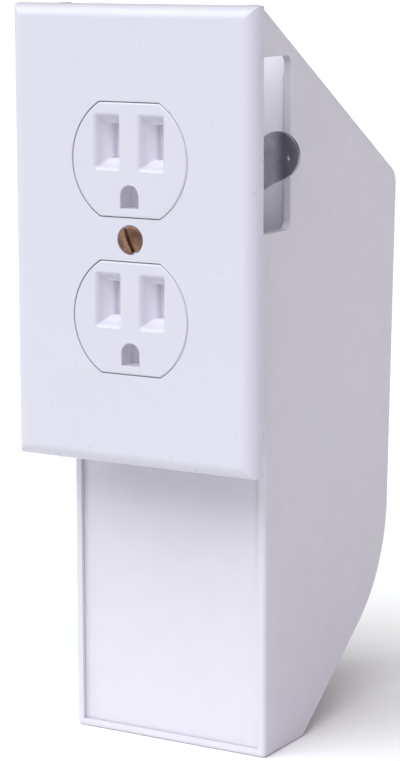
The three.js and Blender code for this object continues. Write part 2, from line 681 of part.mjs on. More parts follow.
function place(name, solid, material, { x = 0, y = 0, z = 0, turn = 0 } = {}) {
  const mesh = new THREE.Mesh(toGeometry(solid), material);
  mesh.name = name;
  mesh.position.set(x, y, z);
  mesh.rotation.y = turn;
  safe.add(mesh);
}

place('wall_plate', wallPlate(), whitePlastic);
place('upper_receptacle', socketFace(), whitePlastic, { z: SOCKET_SPACING / 2 });
place('lower_receptacle', socketFace(), whitePlastic, { z: -SOCKET_SPACING / 2 });
place('yoke_strap', yokeStrap(), brightSteel);
for (const [end, z] of [['top', STRAP_SCREW_Z], ['bottom', -STRAP_SCREW_Z]]) {
  place(`yoke_screw_${end}`, panScrew(STRAP_SCREW_LENGTH), brightSteel, { y: STRAP_BACK + FIT, z });
}
place('box_shell', boxShell(), boxPlastic);
place('front_panel', frontPanel(), boxPlastic);
place('divider', divider(), whitePlastic);
plateScrewPlaces.forEach(([x, z], i) => {
  place(`plate_screw_${i + 1}`, panScrew(PLATE_SCREW_LENGTH), brightSteel, { x, y: TAB_BACK + FIT, z });
});
place('cover_screw', coverScrew(), brass, { y: HEAD_SEAT, turn: SCREW_SLOT_TILT });
place('retaining_ring', retainingRing(), brightSteel, { y: STRAP_BACK + FIT });
place('stop_nut', stopNut(), brightSteel, { y: NUT_FRONT });
place('threaded_bush', threadedBush(), brightSteel, { y: LEVER_DEPTH });
place('latch_lever', latchLever(), darkSteel, { y: LEVER_DEPTH, turn: -LEVER_ANGLE });

export default safe;
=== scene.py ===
# %% [markdown]
# # A wall safe behind a decoy outlet
#
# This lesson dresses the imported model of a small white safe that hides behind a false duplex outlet. Every
# piece of the real one is made again here as a fine mesh with its own finish, in the place that the packed
# model gives it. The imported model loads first, because all that follows has to fit it.

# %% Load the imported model
import math

import bmesh
import bpy
import numpy as np
from mathutils import Matrix, Vector


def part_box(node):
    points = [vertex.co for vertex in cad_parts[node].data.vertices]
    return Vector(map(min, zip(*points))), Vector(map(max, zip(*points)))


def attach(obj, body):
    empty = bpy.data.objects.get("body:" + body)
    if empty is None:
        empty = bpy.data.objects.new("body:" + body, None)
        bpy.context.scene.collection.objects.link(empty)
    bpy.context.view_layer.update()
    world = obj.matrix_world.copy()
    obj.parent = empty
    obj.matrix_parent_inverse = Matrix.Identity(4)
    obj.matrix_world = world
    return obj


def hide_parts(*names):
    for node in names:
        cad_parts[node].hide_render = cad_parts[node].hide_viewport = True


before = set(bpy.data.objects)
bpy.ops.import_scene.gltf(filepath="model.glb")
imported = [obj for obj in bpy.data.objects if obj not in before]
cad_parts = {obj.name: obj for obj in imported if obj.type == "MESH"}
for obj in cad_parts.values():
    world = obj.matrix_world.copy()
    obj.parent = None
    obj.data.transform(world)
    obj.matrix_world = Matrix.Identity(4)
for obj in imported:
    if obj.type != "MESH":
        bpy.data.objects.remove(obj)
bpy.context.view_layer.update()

# %% [markdown]
# ## Working in millimetres
#
# Blender counts in metres, but this safe was drawn in millimetres, with X to the right, Z up and Y into the
# wall, from the middle of the cover screw at the wall's face. All sizes below are millimetres, and they turn
# into metres only where a mesh is made. The two functions place a flat drawing in space: one is drawn as
# seen from the room, the other as seen from the right.

# %% Units and the two drawing planes
MM = 0.001
ARC_STEP = math.radians(5)
LEAST_RADIUS = 0.15


def seen_from_room(across, up, depth):
    return Vector((across, depth, up))


def seen_from_right(depth, up, across):
    return Vector((across, depth, up))


# %% [markdown]
# ## Outlines with rounded corners
#
# Most pieces are moulded, so no corner is quite sharp. An outline is a list of corners, each with a radius.
# It can be moved inwards or outwards before it is rounded, and it keeps the same number of points, so that
# two sizes of it can be joined into a soft edge. This is more exact than a bevel modifier, because the
# radius is the same all the way round.

# %% Outlines
def rounded(corners):
    """The points of a closed outline through (x, y, radius) corners."""
    points = []
    for i, (x, y, radius) in enumerate(corners):
        corner = Vector((x, y))
        if radius <= 0:
            points.append(corner)
            continue
        to_last = (Vector(corners[i - 1][:2]) - corner).normalized()
        to_next = (Vector(corners[(i + 1) % len(corners)][:2]) - corner).normalized()
        half = to_last.angle(to_next) / 2
        centre = corner + (to_last + to_next).normalized() * radius / math.sin(half)
        arm = corner + to_last * radius / math.tan(half) - centre
        sweep = math.copysign(math.pi - 2 * half, to_next.x * to_last.y - to_next.y * to_last.x)
        steps = math.ceil(abs(sweep) / ARC_STEP)
        points += [centre + Matrix.Rotation(sweep * k / steps, 2) @ arm for k in range(steps + 1)]
    return points


def grown(corners, distance):
    """Corners moved outwards. The radii of outer corners grow with them, and inner ones shrink."""
    moved = []
    for i, (x, y, radius) in enumerate(corners):
        corner = Vector((x, y))
        along = (corner - Vector(corners[i - 1][:2])).normalized()
        on = (Vector(corners[(i + 1) % len(corners)][:2]) - corner).normalized()
        out_last, out_next = Vector((along.y, -along.x)), Vector((on.y, -on.x))
        place = corner + (out_last + out_next) * distance / (1 + out_last.dot(out_next))
        outer = along.x * on.y - along.y * on.x > 0
        changed = max(radius + (distance if outer else -distance), LEAST_RADIUS)
        moved.append((place.x, place.y, radius and changed))
    return moved


def rectangle(left, right, low, high, radius=0.0):
    return [(left, low, radius), (right, low, radius), (right, high, radius), (left, high, radius)]


# %% [markdown]
# ## From outlines to solid pieces
#
# A loft joins rings of points into one closed skin of four-sided faces, with a flat cap at each end. A
# moulded slab is a loft whose first and last rings draw in along a quarter circle. A mouth is the tool that
# cuts an opening: it flares out along the same quarter circle, so the edge that it leaves is already soft.
# A turned piece is a loft of circles about the screw's axis.

# %% Solid pieces
def to_object(name, mesh):
    bmesh.ops.recalc_face_normals(mesh, faces=mesh.faces)
    data = bpy.data.meshes.new(name)
    mesh.to_mesh(data)
    mesh.free()
    piece = bpy.data.objects.new(name, data)
    bpy.context.scene.collection.objects.link(piece)
    return piece


def loft(name, rings, hollow=False):
    """One closed skin over rings of points in mm. A hollow one joins its last ring to its first."""
    mesh = bmesh.new()
    rows = [[mesh.verts.new(point * MM) for point in ring] for ring in rings]
    for near, far in zip(rows, rows[1:] + ([rows[0]] if hollow else [])):
        for i in range(len(near)):
            mesh.faces.new((near[i - 1], near[i], far[i], far[i - 1]))
    if not hollow:
        mesh.faces.new(rows[0])
        mesh.faces.new(rows[-1])
    return to_object(name, mesh)


def quarter_circle(radius, steps=4):
    """Pairs of how far an edge is drawn in, and how far along it has come."""
    turns = [math.pi / 2 * k / steps for k in range(steps + 1)]
    return [(radius * (1 - math.sin(turn)), radius * (1 - math.cos(turn))) for turn in turns]


def slab(name, outline_at, start, end, edge, plane=seen_from_room, steps=4):
    """A solid from start to end of an outline that is given for any growth, with both rims rounded."""
    rim = [(start + along, -drawn_in) for drawn_in, along in quarter_circle(edge, steps)]
    rim += [(end - along, -drawn_in) for drawn_in, along in reversed(quarter_circle(edge, steps))]
    return loft(name, [[plane(*point, place) for point in outline_at(growth)] for place, growth in rim])


def mouth(outline_at, face, end, lip, plane=seen_from_room, steps=3):
    """A tool that cuts from in front of a face to its end, and leaves a rounded lip at the face."""
    way = math.copysign(1, end - face)
    stages = [(face - way, lip)]
    stages += [(face + way * along, flare) for flare, along in quarter_circle(lip, steps)]
    stages.append((end, 0))
    return loft("tool", [[plane(*point, place) for point in outline_at(growth)] for place, growth in stages])


def circle(radius, depth, x=0.0, z=0.0, segments=64):
    turns = [math.tau * k / segments for k in range(segments)]
    return [Vector((x + radius * math.cos(turn), depth, z + radius * math.sin(turn))) for turn in turns]


def turned(name, profile, hollow=False, x=0.0, z=0.0, segments=64):
    """A turned piece from (radius, depth) pairs, about the depth axis through x and z."""
    return loft(name, [circle(radius, depth, x, z, segments) for radius, depth in profile], hollow)


def block(across, depth, up):
    corners = rectangle(*across, *up)
    return loft("tool", [[Vector((x, place, z)) for x, z, _ in corners] for place in depth])


def combine(piece, tools, operation="DIFFERENCE"):
    """Cuts tools out of a piece or joins them to it, with the result kept as the piece's mesh."""
    for tool in tools:
        change = piece.modifiers.new("change", "BOOLEAN")
        change.operation = operation
        change.solver = "EXACT"
        change.object = tool
        shown = piece.evaluated_get(bpy.context.evaluated_depsgraph_get())
        changed = bpy.data.meshes.new_from_object(shown)
        piece.modifiers.clear()
        piece.data = changed
        bpy.data.objects.remove(tool)
    return piece


def soften(piece, chosen, radius, steps=3, least_angle=math.radians(40)):
    """Rounds the sharp edges of a piece whose middle, in mm, is one of those chosen."""
    mesh = bmesh.new()
    mesh.from_mesh(piece.data)
    bmesh.ops.dissolve_limit(mesh, angle_limit=0.001, verts=mesh.verts, edges=mesh.edges)
    edges = [
        edge for edge in mesh.edges
        if edge.is_manifold and edge.calc_face_angle() > least_angle
        and chosen(*((edge.verts[0].co + edge.verts[1].co) / 2 / MM))
    ]
    bmesh.ops.bevel(
        mesh, geom=edges, offset=radius * MM, segments=steps, profile=0.5, affect="EDGES",
        clamp_overlap=True,
    )
    mesh.to_mesh(piece.data)
    mesh.free()
    return piece


# %% [markdown]
# ## Giving a piece its place, body and finish
#
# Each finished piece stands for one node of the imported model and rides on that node's body, so it moves
# when the lever swings or the screw turns. Smooth shading with sharp edges marked by angle keeps flats flat
# and rounds round. A weighted normal modifier then lets the large flats decide how a soft edge shades.

# %% Register a piece
CREASE = math.radians(32)
pieces = {}


def register(piece, node, finish, body="housing"):
    for polygon in piece.data.polygons:
        polygon.use_smooth = True
    piece.data.set_sharp_from_angle(angle=CREASE)
    normals = piece.modifiers.new("flats decide", "WEIGHTED_NORMAL")
    normals.keep_sharp = True
    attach(piece, body)
    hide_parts(node)
    pieces[piece.name] = (piece, finish)
    low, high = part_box(node)
    made = np.array([vertex.co for vertex in piece.data.vertices])
    off = max(np.abs(made.min(0) - np.array(low)).max(), np.abs(made.max(0) - np.array(high)).max()) / MM
    print(f"{piece.name}: {len(piece.data.polygons)} faces, furthest side off its node by {off:.2f} mm")
    return piece


# %% [markdown]
# ## The cover plate
#
# The cover is an ordinary one-gang duplex plate, 69.85 by 114.3 mm, and its front edge rolls back to the
# wall in a broad quarter round that catches the light along the top. It is a thin sheet with a rim, so the
# loft runs from the inside of the sheet, over the rim and round to the front. Bosses for the screws stand
# behind the sheet, and the two openings and the screw's sink are cut last. Each opening lies a little to the
# left of its insert, so the gap line is plain on the left and faint on the right.

# %% Sizes and outlines of the cover plate
HALF_PLATE_WIDTH = 34.925
HALF_PLATE_HEIGHT = 57.15
PLATE_FRONT = -4.8
SHEET_BACK = -2.6
PLATE_RIM = 2.0
PLATE_ROUND = 3.6
PLATE_CORNER = 0.5
RIM_SOFTNESS = 0.3
SOCKET_BACK = 3.2
FIT = 0.1
PLATE_SCREWS = [(-21.5, 49.0), (21.5, 49.0), (-21.5, -38.0), (21.5, -38.0)]
TAB_FRONT = 6.0
TAB_BACK = 8.0
STRAP_SCREW_Z = 41.65
BOSS_RADIUS = 3.2
PILOT_RADIUS = 1.5
PLATE_PILOT_END, STRAP_PILOT_END = -2.1, -2.4
CENTRE_BOSS_RADIUS = 3.9
SCREW_HOLE_RADIUS = 1.92
SINK_RADIUS = 3.6
SINK_SEAT = -4.6
SINK_CONE = 1.8
SOCKET_CENTRES = {"upper": 19.55, "lower": -19.55}
SOCKET_RADIUS, SOCKET_HALF_HEIGHT = 16.4, 14.0
SOCKET_GAP = 0.17
SOCKET_SHIFT = 0.13
OPENING_LIP = 0.25

plate_corners = rectangle(
    -HALF_PLATE_WIDTH, HALF_PLATE_WIDTH, -HALF_PLATE_HEIGHT, HALF_PLATE_HEIGHT, PLATE_CORNER)


def arc(centre, radius, start, end, steps):
    """Points on part of a circle, with its angles in degrees."""
    turns = [math.radians(start + (end - start) * k / steps) for k in range(steps + 1)]
    return [(centre[0] + radius * math.cos(turn), centre[1] + radius * math.sin(turn)) for turn in turns]


def socket_outline(growth=0.0, centre=0.0, across=0.0):
    """Round at the sides and flat at the top and bottom, like every duplex socket face."""
    radius, half_height = SOCKET_RADIUS + growth, SOCKET_HALF_HEIGHT + growth
    reach = math.degrees(math.asin(half_height / radius))
    return [
        Vector((x + across, z + centre))
        for start in (-reach, 180 - reach)
        for x, z in arc((0, 0), radius, start, start + 2 * reach, 36)
    ]


# %% Cover plate
round_centre = (PLATE_ROUND, PLATE_FRONT + PLATE_ROUND)
plate_section = [(PLATE_RIM, SHEET_BACK)]
plate_section += arc((PLATE_RIM - RIM_SOFTNESS, -RIM_SOFTNESS), RIM_SOFTNESS, 0, 90, 3)
plate_section += arc((RIM_SOFTNESS, -RIM_SOFTNESS), RIM_SOFTNESS, 90, 180, 3)
plate_section += arc(round_centre, PLATE_ROUND, 180, 270, 14)
cover_plate = loft("cover_plate", [
    [seen_from_room(*point, depth) for point in rounded(grown(plate_corners, -drawn_in))]
    for drawn_in, depth in plate_section
])
combine(cover_plate, [
    turned("tool", [(CENTRE_BOSS_RADIUS, SHEET_BACK - FIT), (CENTRE_BOSS_RADIUS, SOCKET_BACK)]),
    *[turned("tool", [(BOSS_RADIUS, SHEET_BACK - FIT), (BOSS_RADIUS, TAB_FRONT - FIT)], x=x, z=z)
      for x, z in PLATE_SCREWS],
    *[turned("tool", [(BOSS_RADIUS, SHEET_BACK - FIT), (BOSS_RADIUS, SOCKET_BACK)], z=z)
      for z in (STRAP_SCREW_Z, -STRAP_SCREW_Z)],
], "UNION")
combine(cover_plate, [
    *[turned("tool", [(PILOT_RADIUS, PLATE_PILOT_END), (PILOT_RADIUS, TAB_FRONT + 1)], x=x, z=z)
      for x, z in PLATE_SCREWS],
    *[turned("tool", [(PILOT_RADIUS, STRAP_PILOT_END), (PILOT_RADIUS, SOCKET_BACK + 1)], z=z)
      for z in (STRAP_SCREW_Z, -STRAP_SCREW_Z)],
    *[mouth(lambda growth, z=z: socket_outline(SOCKET_GAP + growth, z, -SOCKET_SHIFT),
            PLATE_FRONT, 0, OPENING_LIP)
      for z in SOCKET_CENTRES.values()],
    turned("tool", [
        (SINK_RADIUS + 0.3, PLATE_FRONT - 1), (SINK_RADIUS + 0.3, PLATE_FRONT),
        (SINK_RADIUS + 0.1, PLATE_FRONT + 0.06), (SINK_RADIUS, PLATE_FRONT + 0.25),
        (SINK_RADIUS, SINK_SEAT + 0.06), (SCREW_HOLE_RADIUS, SINK_SEAT + SINK_CONE),
        (SCREW_HOLE_RADIUS, SOCKET_BACK + 1)]),
])
register(cover_plate, "wall_plate", "plate_plastic")

# %% [markdown]
# ## The two socket faces
#
# The false sockets are separate inserts that a real outlet would have in the same place: a face with round
# sides and a flat top and bottom, two blade slots and an earth hole. Each blade slot lies at the bottom of a
# funnel with soft edges, which is what gives the photograph its white wedges. One function makes both faces,
# because the real ones come out of the same mould.

# %% Socket faces
SOCKET_FRONT = -5.05
SOCKET_EDGE = 0.5
FLANGE_GROWTH = 1.5
FLANGE_THICKNESS = 1.4
FLANGE_BACK = SHEET_BACK + FIT + FLANGE_THICKNESS
BLADE_SPACING = 12.7
BLADE_CENTRE_Z = 4.3
SLOT_WIDTH, SLOT_HEIGHT = 2.5, 8.7
FUNNEL_WIDTH, FUNNEL_HEIGHT, FUNNEL_DEPTH = 7.2, 13.4, 4.0
SLOT_DEPTH = 2.4
BLADE_CORNER, FUNNEL_CORNER = 0.3, 0.6
FUNNEL_LIP = [(0.5, -1.0), (0.5, 0.0), (0.3, 0.06), (0.14, 0.2), (0.04, 0.42), (0.0, 0.6)]
EARTH_RADIUS = 2.6
EARTH_BOTTOM, EARTH_TOP = -11.85, -6.15
EARTH_DEPTH = 5.2
EARTH_LIP = 0.25


def blade_tool(x, centre):
    """A funnel that ends in a straight slot, with a soft lip where it meets the face."""
    stages = FUNNEL_LIP + [(0.0, FUNNEL_DEPTH), (0.0, FUNNEL_DEPTH + SLOT_DEPTH)]
    rings = []
    for growth, depth in stages:
        share = 1 - min(max(depth, 0.0) / FUNNEL_DEPTH, 1.0)
        width = SLOT_WIDTH + (FUNNEL_WIDTH - SLOT_WIDTH) * share + 2 * growth
        height = SLOT_HEIGHT + (FUNNEL_HEIGHT - SLOT_HEIGHT) * share + 2 * growth
        low = centre + BLADE_CENTRE_Z - height / 2
        corner = BLADE_CORNER + (FUNNEL_CORNER - BLADE_CORNER) * share + growth
        corners = rectangle(x - width / 2, x + width / 2, low, low + height, corner)
        rings.append([seen_from_room(*point, SOCKET_FRONT + depth) for point in rounded(corners)])
    return loft("tool", rings)


def earth_tool(centre):
    def outline(growth):
        radius, low = EARTH_RADIUS + growth, EARTH_BOTTOM - growth
        dome = arc((0, EARTH_TOP - EARTH_RADIUS), radius, 0, 180, 24)
        return [Vector((x, z + centre)) for x, z in [(-radius, low), (radius, low), *dome]]
    return mouth(outline, SOCKET_FRONT, SOCKET_FRONT + EARTH_DEPTH, EARTH_LIP)


def socket_face(name, centre):
    stages = [(-drawn_in, SOCKET_FRONT + along) for drawn_in, along in quarter_circle(SOCKET_EDGE, 5)]
    stages += [(0, SHEET_BACK + FIT), (FLANGE_GROWTH, SHEET_BACK + FIT), (FLANGE_GROWTH, FLANGE_BACK)]
    stages += [(0, FLANGE_BACK), (0, SOCKET_BACK)]
    face = loft(name, [
        [seen_from_room(*point, depth) for point in socket_outline(growth, centre)]
        for growth, depth in stages
    ])
    half = BLADE_SPACING / 2
    return combine(face, [blade_tool(-half, centre), blade_tool(half, centre), earth_tool(centre)])


for place, centre in SOCKET_CENTRES.items():
    register(socket_face(f"{place}_socket_face", centre), f"{place}_receptacle", "socket_plastic")

# %% [markdown]
# ## The box
#
# The tub is one moulding with 2 mm walls. Its side view is drawn once, with a narrow neck that goes through
# the wall and a deep pocket behind it, and the loft runs across its width, drawn in at both sides so that
# the long edges come out soft. The hollow is cut from it, together with the mouth of the lower front. The
# back and the underside are found where their lines meet, from the angles at which they lean.

# %% Sizes of the box
HALF_BOX_WIDTH = 28.5
BOX_WALL = 2.0
HALF_INNER_WIDTH = HALF_BOX_WIDTH - BOX_WALL
BOX_SOFTNESS = 1.05
BOX_BOTTOM = -133.35
WALL_TOP = 57.0
BOARD_GAP = 12.7
NECK_FLOOR = -45.6
NECK_BOTTOM = NECK_FLOOR - BOX_WALL
BASE_END = 34.0
BACK_DEPTH = 85.1
BACK_LEAN = math.radians(2.0)
UNDERSIDE_ANGLE = math.radians(36.2)
SLANT_ANGLE = math.radians(31.8)
TOP_FLAT = 10.5
NECK_CORNER, TOE_CORNER, BASE_CORNER = 0.1, 1.2, 3.0
HEEL_RADIUS, SHOULDER_CORNER, TOP_CORNER = 40.0, 5.0, 2.0
SLOT_DEPTHS = (6.0, 25.2)
SLOT_HEIGHTS = (1.3, 44.385)
SLOT_CORNER = 2.1
SLOT_LIP = 0.15
LEDGE_DEPTHS = (16.0, 17.5)
LEDGE_WIDTH = 1.5
DIVIDER_FRONT = 28.5
DIVIDER_BACK = 30.3
RIB_WIDTH, RIB_THICKNESS = 1.2, 1.5
RIB_ABOVE_FLOOR, RIB_BELOW_TOP = 2.05, 5.3
TAB_HEIGHT = 9.0
TAB_REACH = 4.0
TAB_HOLE_RADIUS = 1.6
RIM_EDGE = 0.4
ON_FACE = 0.02


# %% Where the lines of the side view meet
def meeting(point_1, angle_1, point_2, angle_2):
    """Where two lines meet, each through a point at an angle above the first axis."""
    slope_1, slope_2 = math.tan(angle_1), math.tan(angle_2)
    x = (point_2[1] - point_1[1] + slope_1 * point_1[0] - slope_2 * point_2[0]) / (slope_1 - slope_2)
    return x, point_1[1] + slope_1 * (x - point_1[0])


def slant_height(depth):
    return WALL_TOP - (depth - TOP_FLAT) * math.tan(SLANT_ANGLE)


def back_corners(inset):
    """Base, heel and shoulder of the box's back, and a point above it, moved in by the wall."""
    bottom = BOX_BOTTOM + inset
    back_angle = math.pi / 2 - BACK_LEAN
    on_back = (BACK_DEPTH - inset / math.cos(BACK_LEAN), 0)
    underside = (BASE_END, BOX_BOTTOM + inset / math.cos(UNDERSIDE_ANGLE))
    base = meeting((0, bottom), 0, underside, UNDERSIDE_ANGLE)
    heel = meeting(underside, UNDERSIDE_ANGLE, on_back, back_angle)
    shoulder = meeting(on_back, back_angle, (TOP_FLAT, WALL_TOP), -SLANT_ANGLE)
    above = meeting(on_back, back_angle, (0, 2 * WALL_TOP), 0)
    return base, heel, shoulder, above


# %% Box and its hollow
base, heel, shoulder, _ = back_corners(0)
box_corners = [
    (FIT, NECK_BOTTOM, 0), (BOARD_GAP, NECK_BOTTOM, NECK_CORNER), (BOARD_GAP, BOX_BOTTOM, TOE_CORNER),
    (*base, BASE_CORNER), (*heel, HEEL_RADIUS), (*shoulder, SHOULDER_CORNER),
    (TOP_FLAT, WALL_TOP, TOP_CORNER), (FIT, WALL_TOP, 0),
]
box = slab(
    "box", lambda growth: rounded(grown(box_corners, growth)), -HALF_BOX_WIDTH, HALF_BOX_WIDTH,
    BOX_SOFTNESS, seen_from_right, 6)

base, heel, _, above = back_corners(BOX_WALL)
hollow_corners = [
    (-1, NECK_FLOOR, 0), (LEDGE_DEPTHS[1], NECK_FLOOR, 0), (LEDGE_DEPTHS[1], NECK_BOTTOM, 0),
    (BOARD_GAP - 1, NECK_BOTTOM, 0), (BOARD_GAP - 1, BOX_BOTTOM + BOX_WALL, 0),
    (base[0], BOX_BOTTOM + BOX_WALL, BASE_CORNER), (*heel, HEEL_RADIUS - BOX_WALL), (*above, 0),
    (-1, above[1], 0),
]
hollow = [
    [seen_from_right(*point, across) for point in rounded(hollow_corners)]
    for across in (-HALF_INNER_WIDTH, HALF_INNER_WIDTH)
]
combine(box, [loft("tool", hollow)])
print("box with its hollow:", len(box.data.polygons), "faces")

# %% [markdown]
# ## Soft rims and the parts inside the box
#
# The rims of the lower front and of the slanted top are only lightly rounded on the real box. They are the
# edges of the hollow, so they are picked by where they lie. A ledge for the panel, ribs for the divider and
# tabs for the plate's screws are then joined on inside, and the lever's slot and the screw holes are cut
# last. The slot's tool has its rounded lip on the outside of the wall.

# %% Rims, ledge, ribs, tabs and slot
low_inside = BOX_BOTTOM + BOX_WALL
soften(box, lambda x, y, z: abs(y - BOARD_GAP) < ON_FACE and abs(x) < HALF_INNER_WIDTH + ON_FACE
       and z > low_inside - FIT, RIM_EDGE)
soften(box, lambda x, y, z: y > TOP_FLAT and abs(z - slant_height(y)) < ON_FACE
       and abs(x) < HALF_INNER_WIDTH + ON_FACE, RIM_EDGE)

ledge_half, hole_half = HALF_INNER_WIDTH + FIT, HALF_INNER_WIDTH - LEDGE_WIDTH
ledge = block((-ledge_half, ledge_half), LEDGE_DEPTHS, (low_inside - FIT, NECK_BOTTOM + FIT))
ledge_hole = block((-hole_half, hole_half), (0, LEDGE_DEPTHS[1] + 1), (low_inside + LEDGE_WIDTH, 0))
rib_heights = (NECK_FLOOR + RIB_ABOVE_FLOOR, slant_height(DIVIDER_BACK) - RIB_BELOW_TOP)
rib_depths = [(DIVIDER_FRONT - FIT - RIB_THICKNESS, DIVIDER_FRONT - FIT),
              (DIVIDER_BACK + FIT, DIVIDER_BACK + FIT + RIB_THICKNESS)]
rib_sides = [(HALF_INNER_WIDTH - RIB_WIDTH, HALF_INNER_WIDTH + FIT),
             (-HALF_INNER_WIDTH - FIT, RIB_WIDTH - HALF_INNER_WIDTH)]
ribs = [block(side, depth, rib_heights) for side in rib_sides for depth in rib_depths]
tabs = []
for x, z in PLATE_SCREWS:
    side = math.copysign(1, x)
    across = sorted((side * (HALF_INNER_WIDTH + FIT), x - side * TAB_REACH))
    tabs.append(block(across, (TAB_FRONT, TAB_BACK), (z - TAB_HEIGHT / 2, z + TAB_HEIGHT / 2)))
combine(box, [combine(ledge, [ledge_hole]), *ribs, *tabs], "UNION")
slot_corners = rectangle(*SLOT_DEPTHS, *SLOT_HEIGHTS, SLOT_CORNER)
combine(box, [
    mouth(lambda growth: rounded(grown(slot_corners, growth)), HALF_BOX_WIDTH, HALF_INNER_WIDTH - 1,
          SLOT_LIP, seen_from_right, 4),
    *[turned("tool", [(TAB_HOLE_RADIUS, TAB_FRONT - 1), (TAB_HOLE_RADIUS, TAB_BACK + 1)], x=x, z=z)
      for x, z in PLATE_SCREWS],
])
register(box, "box_shell", "box_plastic")

# %% [markdown]
# ## The front panel and the divider
#
# A flat panel closes the lower front, a little behind the rim, so a thin dark line runs round it. The
# divider is one bent sheet: an upright wall behind the lever that keeps what is stored away from it, with a
# foot along the floor of the neck. Both are slabs with soft edges.

# %% Front panel
SLIDE_FIT = 0.15
PANEL_DEPTHS = (13.9, 15.9)
PANEL_FIT = 0.04
PANEL_CORNER, PANEL_EDGE = 0.3, 0.12
panel_corners = rectangle(
    PANEL_FIT - HALF_INNER_WIDTH, HALF_INNER_WIDTH - PANEL_FIT, low_inside + PANEL_FIT,
    NECK_BOTTOM - SLIDE_FIT, PANEL_CORNER)
panel = slab(
    "lower_panel", lambda growth: rounded(grown(panel_corners, growth)), *PANEL_DEPTHS, PANEL_EDGE)
register(panel, "front_panel", "box_plastic")

# %% Divider
DIVIDER_FOOT_FRONT = 6.0
DIVIDER_THICKNESS = 1.8
DIVIDER_CORNER, DIVIDER_EDGE = 0.5, 0.3
DIVIDER_BELOW_RIM = 0.3
foot_low = NECK_FLOOR + FIT
foot_top = foot_low + DIVIDER_THICKNESS
divider_corners = [
    (DIVIDER_FOOT_FRONT, foot_low, DIVIDER_CORNER),
    (DIVIDER_BACK, foot_low, DIVIDER_THICKNESS + DIVIDER_CORNER),
    (DIVIDER_BACK, slant_height(DIVIDER_BACK) - DIVIDER_BELOW_RIM, DIVIDER_CORNER),
    (DIVIDER_FRONT, slant_height(DIVIDER_FRONT) - DIVIDER_BELOW_RIM, DIVIDER_CORNER),
    (DIVIDER_FRONT, foot_top, DIVIDER_CORNER), (DIVIDER_FOOT_FRONT, foot_top, DIVIDER_CORNER),
]
divider = slab(
    "divider_sheet", lambda growth: rounded(grown(divider_corners, growth)),
    SLIDE_FIT - HALF_INNER_WIDTH, HALF_INNER_WIDTH - SLIDE_FIT, DIVIDER_EDGE, seen_from_right)
register(divider, "divider", "divider_plastic")

# %% [markdown]
# ## The strap behind the sockets
#
# A plated steel strap holds both inserts in the plate and takes the pull of the cover screw. Its edges are
# sheared, so they are rounded by only a fifth of a millimetre.

# %% Strap
STRAP_DEPTHS = (3.3, 4.5)
STRAP_HALF_WIDTH, STRAP_HALF_HEIGHT, STRAP_CORNER = 7.0, 45.05, 3.0
STRAP_EDGE = 0.2
STRAP_HOLE_RADIUS = 1.6
strap_holes = [
    (0, SCREW_HOLE_RADIUS), (STRAP_SCREW_Z, STRAP_HOLE_RADIUS), (-STRAP_SCREW_Z, STRAP_HOLE_RADIUS)]

strap_corners = rectangle(
    -STRAP_HALF_WIDTH, STRAP_HALF_WIDTH, -STRAP_HALF_HEIGHT, STRAP_HALF_HEIGHT, STRAP_CORNER)
strap = slab("strap", lambda growth: rounded(grown(strap_corners, growth)), *STRAP_DEPTHS, STRAP_EDGE)
combine(strap, [turned("tool", [(radius, 0), (radius, 8)], z=z) for z, radius in strap_holes])
register(strap, "yoke_strap", "zinc_steel")

# %% [markdown]
# ## Screws with real threads
#
# A thread is a ridge that climbs one pitch a turn. The rings of a screw's shank are close together, and each
# point moves out or in by where it lies on that climb, so the helix comes from the mesh and not from a
# picture. The ridge is made a quarter too high and cut off flat, and it fades out over one pitch at both
# ends.

# %% Threads
CREST = 1.25


def thread(major, minor, pitch, start, end, segments, rows_per_turn=9):
    """Rings of a shank from start to end with a helical ridge."""
    count = math.ceil(abs(end - start) / pitch * rows_per_turn)
    rings = []
    for row in range(count + 1):
        depth = start + (end - start) * row / count
        fade = min(abs(depth - start) / pitch, abs(end - depth) / pitch, 1)
        ring = []
        for k in range(segments):
            turn = math.tau * k / segments
            climb = (depth / pitch - turn / math.tau) % 1
            ridge = min(CREST * (1 - abs(2 * climb - 1)), 1)
            radius = minor + (major - minor) * ridge * fade
            ring.append(Vector((radius * math.cos(turn), depth, radius * math.sin(turn))))
        rings.append(ring)
    return rings


# %% [markdown]
# ## The cover screw
#
# A brass screw with an oval slotted head sits between the two sockets. Its slot stands a little off upright,
# with the top to the left. A number 6 screw has 32 threads to the inch, so the pitch is 0.79 mm. The shank
# is plain behind the head, and the thread starts where the bush comes to when it is drawn right up. The slot
# is cut with a block, and its edges at the head are then softened a little, as wear does.

# %% Cover screw
HEAD_RIM = -4.7
HEAD_RADIUS = 3.5
HEAD_DOME = 0.6
HEAD_CONE = 1.8
SCREW_RADIUS = 1.72
THREAD_ROOT = 1.28
THREAD_START = 8.8
PITCH = 25.4 / 32
SCREW_END = 27.05
SCREW_SLOT_WIDTH = 1.1
SCREW_SLOT_DEPTH = 1.1
SLOT_TILT = math.radians(22.8)
SCREW_SEGMENTS = 48

